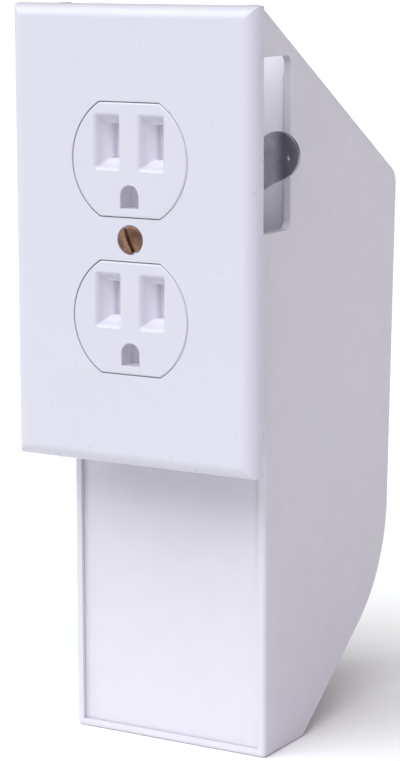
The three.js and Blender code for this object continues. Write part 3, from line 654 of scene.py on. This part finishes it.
dome = [
    (HEAD_RADIUS * part, HEAD_RIM - HEAD_DOME * (1 - part ** 2)) for part in np.linspace(0.02, 0.96, 12)]
head = dome + [
    (HEAD_RADIUS, HEAD_RIM + 0.02), (HEAD_RADIUS - 0.08, HEAD_RIM + 0.12),
    (SCREW_RADIUS, HEAD_RIM + HEAD_CONE), (SCREW_RADIUS, THREAD_START - 0.5),
    (THREAD_ROOT, THREAD_START - 0.1),
]
rings = [circle(radius, depth, segments=SCREW_SEGMENTS) for radius, depth in head]
rings += thread(SCREW_RADIUS, THREAD_ROOT, PITCH, THREAD_START, SCREW_END - 0.5, SCREW_SEGMENTS)
rings += [circle(THREAD_ROOT - 0.3, SCREW_END, segments=SCREW_SEGMENTS)]
cover_screw = loft("cover_screw_oval_head", rings)
slot_floor = HEAD_RIM - HEAD_DOME + SCREW_SLOT_DEPTH
slot_half = SCREW_SLOT_WIDTH / 2
combine(cover_screw, [block((-slot_half, slot_half), (HEAD_RIM - 2, slot_floor), (-5, 5))])
soften(cover_screw, lambda x, y, z: abs(abs(x) - slot_half) < 0.01 and y < HEAD_RIM - 0.02, 0.07, 2)
cover_screw.data.transform(Matrix.Rotation(-SLOT_TILT, 4, "Y"))
register(cover_screw, "cover_screw", "brass", "screw")

# %% [markdown]
# ## Small steel parts on the screw
#
# A ring keeps the screw in the plate, a nut locked on its end stops the lever from running off, and a
# threaded bush carries the lever. All are turned parts. The nut is a hexagon whose corners are turned off on
# both sides, which gives the curved edges that every real nut has.

# %% Ring
RING_FRONT, RING_BACK = 4.6, 5.4
RING_RADIUS, RING_EDGE = 3.6, 0.1
CLOSE_BORE = 1.82
ring_piece = turned("screw_ring", [
    (CLOSE_BORE, RING_FRONT), (RING_RADIUS - RING_EDGE, RING_FRONT), (RING_RADIUS, RING_FRONT + RING_EDGE),
    (RING_RADIUS, RING_BACK - RING_EDGE), (RING_RADIUS - RING_EDGE, RING_BACK), (CLOSE_BORE, RING_BACK),
], hollow=True)
register(ring_piece, "retaining_ring", "zinc_steel", "screw")

# %% Nut
NUT_DEPTHS = (23.8875, 26.0875)
NUT_ACROSS_FLATS = 7.94
NUT_CORNER = NUT_ACROSS_FLATS / 2 / math.cos(math.pi / 6)
NUT_CHAMFER_IN, NUT_CHAMFER_ALONG = 0.65, 0.36
NUT_MOUTH_RADIUS, NUT_MOUTH_DEPTH = 2.3, 0.4
hexagon = [
    Vector((NUT_CORNER * math.cos(k * math.pi / 3), NUT_CORNER * math.sin(k * math.pi / 3)))
    for k in range(6)
]
nut = loft(
    "stop_nut_hexagon", [[seen_from_room(*point, depth) for point in hexagon] for depth in NUT_DEPTHS])
near, far = NUT_DEPTHS
combine(nut, [turned("tool", [
    (NUT_CORNER - NUT_CHAMFER_IN, near - 0.01), (NUT_CORNER + 0.01, near + NUT_CHAMFER_ALONG),
    (NUT_CORNER + 0.01, far - NUT_CHAMFER_ALONG), (NUT_CORNER - NUT_CHAMFER_IN, far + 0.01),
])], "INTERSECT")
combine(nut, [turned("tool", [
    (NUT_MOUTH_RADIUS, near - 1), (NUT_MOUTH_RADIUS, near), (CLOSE_BORE, near + NUT_MOUTH_DEPTH),
    (CLOSE_BORE, far - NUT_MOUTH_DEPTH), (NUT_MOUTH_RADIUS, far), (NUT_MOUTH_RADIUS, far + 1),
])])
register(nut, "stop_nut", "zinc_steel", "screw")

# %% Bush
LEVER_FRONT, LEVER_BACK = 15.875, 16.875
BUSH_BORE, BUSH_SLEEVE_RADIUS, BUSH_RIM_RADIUS, BUSH_FLANGE_RADIUS = 1.85, 2.6, 3.1, 4.6
BUSH_RIM_THICKNESS, BUSH_FLANGE_THICKNESS = 0.6, 2.0
BUSH_EDGE, BUSH_BACK_EDGE = 0.15, 0.25
bush_front, bush_shoulder = LEVER_FRONT - BUSH_RIM_THICKNESS, LEVER_BACK + FIT
bush_back = bush_shoulder + BUSH_FLANGE_THICKNESS
bush = turned("lever_bush", [
    (BUSH_BORE, bush_front), (BUSH_RIM_RADIUS - BUSH_EDGE, bush_front),
    (BUSH_RIM_RADIUS, bush_front + BUSH_EDGE), (BUSH_RIM_RADIUS, LEVER_FRONT - FIT),
    (BUSH_SLEEVE_RADIUS, LEVER_FRONT - FIT), (BUSH_SLEEVE_RADIUS, bush_shoulder),
    (BUSH_FLANGE_RADIUS - BUSH_EDGE, bush_shoulder), (BUSH_FLANGE_RADIUS, bush_shoulder + BUSH_EDGE),
    (BUSH_FLANGE_RADIUS, bush_back - BUSH_BACK_EDGE), (BUSH_FLANGE_RADIUS - BUSH_BACK_EDGE, bush_back),
    (BUSH_BORE, bush_back),
], hollow=True)
register(bush, "threaded_bush", "zinc_steel", "bush")

# %% [markdown]
# ## The lever
#
# The lever is stamped from 1 mm steel: a round eye about the bush, a waist, and a round end that comes out
# of the slot. It is drawn lying along X and then turned up to its place. Stamping leaves soft edges, and
# there is a punch mark near the end.

# %% Outline of the lever
HUB_RADIUS, TIP_RADIUS, LEVER_LENGTH = 5.2, 5.9, 36.2
WAIST_AT, WAIST_HALF_WIDTH = 14.0, 3.0
LEVER_ANGLE = math.radians(34.4)
LEVER_EDGE = 0.2
EYE_RADIUS = 2.7
PUNCH_PLACE = (38.7, -2.3)
PUNCH_SHAPE = [(0.75, -1), (0.75, -0.01), (0.5, 0.12), (0.3, 0.42), (0.05, 0.5)]


def lever_outline(growth):
    """Two arcs joined by two curves, drawn in or out as a whole."""
    hub, tip, waist = HUB_RADIUS + growth, TIP_RADIUS + growth, WAIST_HALF_WIDTH + growth
    hub_turn = math.atan2(waist, WAIST_AT) + math.acos(hub / math.hypot(WAIST_AT, waist))
    back = LEVER_LENGTH - WAIST_AT
    tip_turn = math.pi - math.atan2(waist, back) - math.acos(tip / math.hypot(back, waist))
    hub_turn, tip_turn = math.degrees(hub_turn), math.degrees(tip_turn)
    hub_arc = arc((0, 0), hub, hub_turn, 360 - hub_turn, 44)
    tip_arc = arc((LEVER_LENGTH, 0), tip, -tip_turn, tip_turn, 44)

    def side(start, middle, end):
        return [
            tuple((1 - t) ** 2 * a + 2 * t * (1 - t) * b + t ** 2 * c for a, b, c in zip(start, middle, end))
            for t in np.linspace(0, 1, 18)[1:-1]
        ]

    points = hub_arc + side(hub_arc[-1], (WAIST_AT, -waist), tip_arc[0])
    points += tip_arc + side(tip_arc[-1], (WAIST_AT, waist), hub_arc[0])
    return [Vector(point) for point in points]


# %% Lever
lever = slab("swing_lever", lever_outline, LEVER_FRONT, LEVER_BACK, LEVER_EDGE)
combine(lever, [
    turned("tool", [(EYE_RADIUS, LEVER_FRONT - 1), (EYE_RADIUS, LEVER_BACK + 1)]),
    turned("tool", [(radius, LEVER_FRONT + depth) for radius, depth in PUNCH_SHAPE],
           x=PUNCH_PLACE[0], z=PUNCH_PLACE[1]),
])
lever.data.transform(Matrix.Rotation(-LEVER_ANGLE, 4, "Y"))
register(lever, "latch_lever", "dark_steel", "lever")

# %% [markdown]
# ## The six pan head screws
#
# Four screws hold the plate to the tabs of the box, and two hold the strap to the plate. They are driven
# from behind. The head is a low dome with a cross recess, and one function makes all six.

# %% Pan head screws
PAN_HEAD_RADIUS, PAN_HEAD_HEIGHT, PAN_RIM_HEIGHT = 2.7, 1.7, 0.7
PAN_EDGE = 0.1
PAN_CROWN_RADIUS = 1.5
PAN_SHANK, PAN_THREAD_ROOT, PAN_PITCH = 1.4, 1.05, 1.06
PAN_POINT_RADIUS, PAN_POINT_BASE, PAN_POINT_LENGTH = 0.3, 0.9, 0.9
CROSS_HALF_LENGTH, CROSS_HALF_WIDTH, CROSS_DEPTH = 1.5, 0.35, 1.0
PLATE_SCREW_LENGTH, STRAP_SCREW_LENGTH = 9.5, 6.35
PAN_SEGMENTS = 28


def pan_screw(name, node, x, z, seat, length):
    """A screw driven towards the room, with the underside of its head at the seat."""
    tip, shank_start, rim = seat - length, seat - length + PAN_POINT_LENGTH, seat + PAN_RIM_HEIGHT
    point = [circle(PAN_POINT_RADIUS, tip, segments=PAN_SEGMENTS),
             circle(PAN_POINT_BASE, shank_start, segments=PAN_SEGMENTS)]
    shank = thread(PAN_SHANK, PAN_THREAD_ROOT, PAN_PITCH, shank_start, seat - 0.4, PAN_SEGMENTS)
    head = [(PAN_SHANK, seat - 0.1), (PAN_SHANK, seat), (PAN_HEAD_RADIUS - PAN_EDGE, seat),
            (PAN_HEAD_RADIUS, seat + PAN_EDGE), (PAN_HEAD_RADIUS, rim)]
    head += [(PAN_CROWN_RADIUS + (PAN_HEAD_RADIUS - PAN_CROWN_RADIUS) * math.cos(turn),
              rim + (PAN_HEAD_HEIGHT - PAN_RIM_HEIGHT) * math.sin(turn))
             for turn in np.radians([15, 30, 45, 60, 75, 90])]
    rings = point + shank + [circle(radius, depth, segments=PAN_SEGMENTS) for radius, depth in head]
    screw = loft(name, rings)
    top = seat + PAN_HEAD_HEIGHT
    long_way, short_way = (-CROSS_HALF_LENGTH, CROSS_HALF_LENGTH), (-CROSS_HALF_WIDTH, CROSS_HALF_WIDTH)
    combine(screw, [block(long_way, (top - CROSS_DEPTH, top + 1), short_way),
                    block(short_way, (top - CROSS_DEPTH, top + 1), long_way)])
    screw.data.transform(Matrix.Translation(Vector((x, 0, z)) * MM))
    register(screw, node, "zinc_steel")


for number, (x, z) in enumerate(PLATE_SCREWS, 1):
    pan_screw(
        f"pan_screw_plate_{number}", f"plate_screw_{number}", x, z, TAB_BACK + FIT, PLATE_SCREW_LENGTH)
for end, z in (("top", STRAP_SCREW_Z), ("bottom", -STRAP_SCREW_Z)):
    pan_screw(
        f"pan_screw_strap_{end}", f"yoke_screw_{end}", 0, z, STRAP_DEPTHS[1] + FIT, STRAP_SCREW_LENGTH)

# %% [markdown]
# ## Finishes
#
# Every finish is worked out by nodes from the place on the piece, so it needs no picture and no unwrapping.
# A short helper adds a node and joins its inputs. Noise at a few sizes gives each surface what the real one
# shows: slow changes of tone, the grain of the mould, and small marks of use.

# %% Node helpers
def add(tree, kind, inputs=(), output=0, **settings):
    """Adds a node, sets or joins its inputs by name or number, and gives back one of its outputs."""
    node = tree.nodes.new(kind)
    for key, value in settings.items():
        setattr(node, key, value)
    for key, value in dict(inputs).items():
        if isinstance(value, bpy.types.NodeSocket):
            tree.links.new(value, node.inputs[key])
        else:
            node.inputs[key].default_value = value
    return node.outputs[output]


def new_finish(name, **fixed):
    """An empty finish with its surface shader, whose fixed inputs are set straight away."""
    finish = bpy.data.materials.new(name)
    finish.use_nodes = True
    tree = finish.node_tree
    surface = tree.nodes["Principled BSDF"]
    for key, value in fixed.items():
        surface.inputs[key.replace("_", " ")].default_value = value
    return finish, tree, surface, add(tree, "ShaderNodeTexCoord", output=3)


def noise(tree, place, scale, detail=3.0, roughness=0.55, stretch=(1, 1, 1)):
    spread = add(tree, "ShaderNodeMapping", {0: place, 3: stretch})
    return add(tree, "ShaderNodeTexNoise", {"Vector": spread, "Scale": scale, "Detail": detail,
                                            "Roughness": roughness})


def between(tree, value, low, high, out_low=0.0, out_high=1.0):
    return add(tree, "ShaderNodeMapRange", {0: value, 1: low, 2: high, 3: out_low, 4: out_high})


def mix_colour(tree, share, first, second):
    return add(tree, "ShaderNodeMix", {0: share, 6: first, 7: second}, output=2, data_type="RGBA")


def bump(tree, height, strength, distance, below=None):
    inputs = {"Height": height, "Strength": strength, "Distance": distance * MM}
    if below:
        inputs["Normal"] = below
    return add(tree, "ShaderNodeBump", inputs)


# %% [markdown]
# ## White plastic
#
# The cover and the sockets are a cool white moulded plastic with a satin gloss. Up close it isn't perfectly
# even: the tone drifts a little over centimetres, and the surface has the faint waviness of a moulding. The
# sockets are painted lighter deep down in their slots and holes, which is painted light that brightens these
# recesses. The box is finely grained and duller, with grey and pink mottling and pale rubbed marks near the
# slanted top. The divider is the same grained plastic painted much lighter, which is painted light standing
# in for the light that falls on it through the open top, and it has no rubbed marks.

# %% Plastic of the cover and the sockets
# Depths behind the socket face over which the painted light in the slots and holes fades in.
PAINTED_LIGHT_DEPTHS = (1.4, 4.0)
SPECK_COLOUR = (0.45, 0.44, 0.52, 1)


def cover_plastic(name, light, dark, deep_painted_light):
    finish, tree, surface, place = new_finish(name, IOR=1.49)
    drift = noise(tree, place, 38, 2)
    specks = between(tree, noise(tree, place, 900, 2), 0.66, 0.78)
    colour = mix_colour(tree, drift, light, dark)
    colour = mix_colour(tree, between(tree, specks, 0, 1, 0, 0.04), colour, SPECK_COLOUR)
    # Painted light: deeper than 1.4 mm behind the socket face, the colour turns to a lighter one,
    # brightening the recesses.
    depth = add(tree, "ShaderNodeSeparateXYZ", {0: place}, output=1)
    painted_light_share = between(tree, depth, *[(SOCKET_FRONT + deep) * MM for deep in PAINTED_LIGHT_DEPTHS])
    colour = mix_colour(tree, painted_light_share, colour, deep_painted_light)
    gloss = between(tree, noise(tree, place, 220, 3), 0.3, 0.7, 0.27, 0.38)
    wave = bump(tree, noise(tree, place, 330, 2), 0.16, 0.05)
    grain = bump(tree, noise(tree, place, 2600, 2), 0.10, 0.02, wave)
    tree.links.new(colour, surface.inputs["Base Color"])
    tree.links.new(gloss, surface.inputs["Roughness"])
    tree.links.new(grain, surface.inputs["Normal"])
    return finish


# %% Plastic of the box and the divider
MARKS_UP_THE_SLANT = (36, 53)
RUBBED_COLOUR = (0.80, 0.80, 0.82, 1)


def box_plastic(name, light, dark, wear):
    finish, tree, surface, place = new_finish(name, IOR=1.49)
    drift = noise(tree, place, 26, 3)
    mottle = between(tree, noise(tree, place, 130, 4, 0.65), 0.35, 0.7)
    colour = mix_colour(tree, drift, light, dark)
    mottled = [0.94 * part for part in dark[:3]] + [1]
    colour = mix_colour(tree, between(tree, mottle, 0, 1, 0, 0.35), colour, mottled)
    smear = noise(tree, place, 70, 4, 0.6, (1, 0.6, 1.6))
    off_slant = (0, math.sin(SLANT_ANGLE), math.cos(SLANT_ANGLE))
    reach = add(tree, "ShaderNodeVectorMath", {0: place, 1: off_slant}, output=1, operation="DOT_PRODUCT")
    near_slant = between(tree, reach, *[height * MM for height in MARKS_UP_THE_SLANT], 0, wear)
    smear = between(tree, smear, 0.56, 0.72, 0, near_slant)
    colour = mix_colour(tree, smear, colour, RUBBED_COLOUR)
    scratches = noise(tree, place, 420, 2, 0.5, (1, 0.05, 0.9))
    scratches = between(tree, scratches, 0.70, 0.76)
    dull = between(tree, noise(tree, place, 180, 3), 0.3, 0.7, 0.42, 0.56)
    grain = bump(tree, noise(tree, place, 3600, 3), 0.22, 0.03)
    grooves = bump(tree, scratches, -0.12, 0.02, grain)
    tree.links.new(colour, surface.inputs["Base Color"])
    tree.links.new(dull, surface.inputs["Roughness"])
    tree.links.new(grooves, surface.inputs["Normal"])
    return finish


# %% [markdown]
# ## Metals
#
# The brass screw has gone brown in patches. The lever is dull zinc-plated steel with cloudy patches. Its end
# is painted dark, a painted reflection of dark surroundings, and the part nearer the plate is made less
# metallic so that it takes up more light, a painted reflection of the plate's lit back. The hidden steel
# parts are bright zinc. All have fine lines from rolling or turning and small pits, which are bumps in the
# shading alone.

# %% Metal
# Painted reflection: between these places along X the lever's end turns dark, a painted reflection of dark
# surroundings, and the part nearer the plate is less metallic, a painted reflection of the plate's lit back.
PAINTED_REFLECTION_ACROSS = (28.7, 31.4)
PAINTED_DARK_REFLECTION_COLOUR = (0.12, 0.12, 0.15, 1)
PAINTED_DARK_REFLECTION_SHARE = 0.66


def metal(name, bright, dull, cloud_scale, roughness, line_stretch, line_strength, painted_reflection=None):
    finish, tree, surface, place = new_finish(name, Metallic=1.0)
    clouds = between(tree, noise(tree, place, cloud_scale, 4, 0.6), 0.36, 0.66)
    colour = mix_colour(tree, clouds, bright, dull)
    pits = between(tree, noise(tree, place, cloud_scale * 9, 3), 0.62, 0.75)
    pitted_tone = [0.5 * part for part in dull[:3]] + [1]
    colour = mix_colour(tree, between(tree, pits, 0, 1, 0, 0.5), colour, pitted_tone)
    rough = between(tree, noise(tree, place, cloud_scale * 2, 3), 0.3, 0.7, *roughness)
    lines = noise(tree, place, 2400, 2, 0.5, line_stretch)
    lined = bump(tree, lines, line_strength, 0.03)
    pitted = bump(tree, pits, -0.25, 0.03, lined)
    # Painted reflection: a dark colour mixed in towards the lever's end along X, and less metal nearer the
    # plate so that it takes up light.
    if painted_reflection:
        across = add(tree, "ShaderNodeSeparateXYZ", {0: place})
        end = between(tree, across, *[limit * MM for limit in painted_reflection])
        colour = mix_colour(tree, between(tree, end, 0, 1, 0, PAINTED_DARK_REFLECTION_SHARE), colour, PAINTED_DARK_REFLECTION_COLOUR)
        tree.links.new(between(tree, end, 0, 1, 0.45, 1.0), surface.inputs["Metallic"])
    tree.links.new(colour, surface.inputs["Base Color"])
    tree.links.new(rough, surface.inputs["Roughness"])
    tree.links.new(pitted, surface.inputs["Normal"])
    return finish


# %% All the finishes
finishes = {
    "plate_plastic": cover_plastic(
        "satin_cover_plastic", light=(0.575, 0.57, 0.64, 1), dark=(0.56, 0.555, 0.62, 1),
        deep_painted_light=(0.575, 0.57, 0.64, 1)),
    # The socket finish has painted light deep in its slots and holes.
    "socket_plastic": cover_plastic(
        "satin_socket_plastic_painted_light", light=(0.57, 0.565, 0.635, 1), dark=(0.555, 0.55, 0.615, 1),
        deep_painted_light=(0.80, 0.78, 0.85, 1)),
    "box_plastic": box_plastic(
        "grained_box_plastic", light=(0.66, 0.63, 0.69, 1), dark=(0.61, 0.605, 0.655, 1), wear=0.6),
    # The divider's colours are painted light: much lighter than the box's, they stand in for light that
    # falls on it through the open top.
    "divider_plastic": box_plastic(
        "divider_grained_plastic_painted_light", light=(0.94, 0.93, 0.98, 1), dark=(0.92, 0.91, 0.96, 1), wear=0.0),
    "brass": metal(
        "brown_brass", bright=(0.33, 0.19, 0.125, 1), dull=(0.13, 0.07, 0.05, 1), cloud_scale=420,
        roughness=(0.30, 0.52), line_stretch=(1, 1, 0.1), line_strength=0.3),
    # The lever's finish holds a painted reflection: a dark end and a lighter, less metallic part nearer the
    # plate.
    "dark_steel": metal(
        "zinc_steel_painted_reflection", bright=(0.74, 0.75, 0.82, 1), dull=(0.46, 0.45, 0.51, 1), cloud_scale=120,
        roughness=(0.3, 0.5), line_stretch=(0.3, 1, 1), line_strength=0.12,
        painted_reflection=PAINTED_REFLECTION_ACROSS),
    "zinc_steel": metal(
        "bright_zinc_steel", bright=(0.66, 0.67, 0.70, 1), dull=(0.52, 0.53, 0.56, 1), cloud_scale=260,
        roughness=(0.24, 0.4), line_stretch=(1, 1, 0.06), line_strength=0.2),
}
for piece, slot_name in pieces.values():
    piece.data.materials.clear()
    piece.data.materials.append(finishes[slot_name])
print("finishes", {name: len(finish.node_tree.nodes) for name, finish in finishes.items()})

# %% [markdown]
# ## The camera
#
# The photograph was taken from the right and a little above, with a long lens. Its place was worked out from
# the plate's known size. The numbers below are the camera's place, the way it looks and its focal length in
# pixels, and the small shift puts the object where it stands in the frame.

# %% Camera
PHOTO_WIDTH, PHOTO_HEIGHT = 400, 761
FOCAL_PIXELS = 2530.8
AXIS_PIXEL = (178.0, 413.01)
CAMERA_TARGET = Vector((13.596, -4.8, -41.863))
CAMERA_DISTANCE = 621.906
AZIMUTH, ELEVATION, ROLL = (math.radians(angle) for angle in (30.954, 10.855, -0.206))
SENSOR = 36.0

towards = Vector((
    math.sin(AZIMUTH) * math.cos(ELEVATION), -math.cos(AZIMUTH) * math.cos(ELEVATION), math.sin(ELEVATION)))
level_right = Vector((math.cos(AZIMUTH), math.sin(AZIMUTH), 0))
level_up = towards.cross(level_right)
right = math.cos(ROLL) * level_right + math.sin(ROLL) * level_up
up = math.cos(ROLL) * level_up - math.sin(ROLL) * level_right
camera_data = bpy.data.cameras.new("camera")
camera_data.sensor_fit = "VERTICAL"
camera_data.sensor_height = SENSOR
camera_data.lens = FOCAL_PIXELS / PHOTO_HEIGHT * SENSOR
camera_data.shift_x = (PHOTO_WIDTH / 2 - AXIS_PIXEL[0]) / PHOTO_HEIGHT
camera_data.shift_y = (AXIS_PIXEL[1] - PHOTO_HEIGHT / 2) / PHOTO_HEIGHT
camera = bpy.data.objects.new("camera", camera_data)
bpy.context.scene.collection.objects.link(camera)
camera.matrix_world = Matrix.Translation((CAMERA_TARGET + towards * CAMERA_DISTANCE) * MM) @ Matrix(
    (right, up, towards)).transposed().to_4x4()
bpy.context.scene.camera = camera
print(f"lens {camera_data.lens:.2f} mm, shift {camera_data.shift_x:.4f} and {camera_data.shift_y:.4f}")

# %% [markdown]
# ## Floor and light
#
# The safe stands on a plain white floor. The room around it gives only a faint warm light, and five broad
# lamps do the rest. Two stand high in front, left and right, two low at the sides and one overhead. Most of
# the light comes from in front and from the left, so the plate is brighter than the side of the box. The
# strengths and tints were worked out from tones measured in the photograph.

# %% Floor
bpy.context.scene.view_settings.view_transform = "Standard"

FLOOR_HALF_SIZE = 60000
floor_corners = rectangle(-FLOOR_HALF_SIZE, FLOOR_HALF_SIZE, -FLOOR_HALF_SIZE, FLOOR_HALF_SIZE)
floor_mesh = bmesh.new()
floor_mesh.faces.new([floor_mesh.verts.new(Vector((x, y, BOX_BOTTOM)) * MM) for x, y, _ in floor_corners])
floor = to_object("floor", floor_mesh)
paper, tree, surface, place = new_finish("white_paper", Roughness=0.9, IOR=1.2)
tone = mix_colour(tree, noise(tree, place, 40, 2), (0.93, 0.93, 0.935, 1), (0.95, 0.95, 0.955, 1))
tree.links.new(tone, surface.inputs["Base Color"])
floor.data.materials.append(paper)
print("floor at", BOX_BOTTOM, "mm")

# %% Light
AROUND_STRENGTH = 0.12
AROUND_COLOUR = (1.0, 0.82, 0.72, 1)
sky = bpy.data.worlds.new("studio")
bpy.context.scene.world = sky
sky.use_nodes = True
sky.node_tree.nodes["Background"].inputs["Color"].default_value = AROUND_COLOUR
sky.node_tree.nodes["Background"].inputs["Strength"].default_value = AROUND_STRENGTH


def sun(name, azimuth, elevation, strength, spread, colour):
    """A lamp so far away that it lights all places alike. A wide spread makes its shadows soft."""
    lamp = bpy.data.lights.new(name, "SUN")
    lamp.energy = strength
    lamp.angle = math.radians(spread)
    lamp.color = colour
    holder = bpy.data.objects.new(name, lamp)
    bpy.context.scene.collection.objects.link(holder)
    a, e = math.radians(azimuth), math.radians(elevation)
    source = Vector((math.sin(a) * math.cos(e), -math.cos(a) * math.cos(e), math.sin(e)))
    holder.rotation_euler = source.to_track_quat("Z", "Y").to_euler()


sun("upper_left", -30, 50, 1.58, 50, (0.91, 0.95, 1.0))
sun("upper_right", 20, 55, 1.36, 50, (0.94, 1.0, 0.99))
sun("low_right", 45, 30, 0.66, 60, (0.91, 0.76, 1.0))
sun("far_left", -70, 30, 1.0, 60, (0.91, 1.0, 0.97))
sun("overhead", 0, 85, 0.43, 60, (1, 1, 1))

# %% Update the scene
bpy.context.view_layer.update()
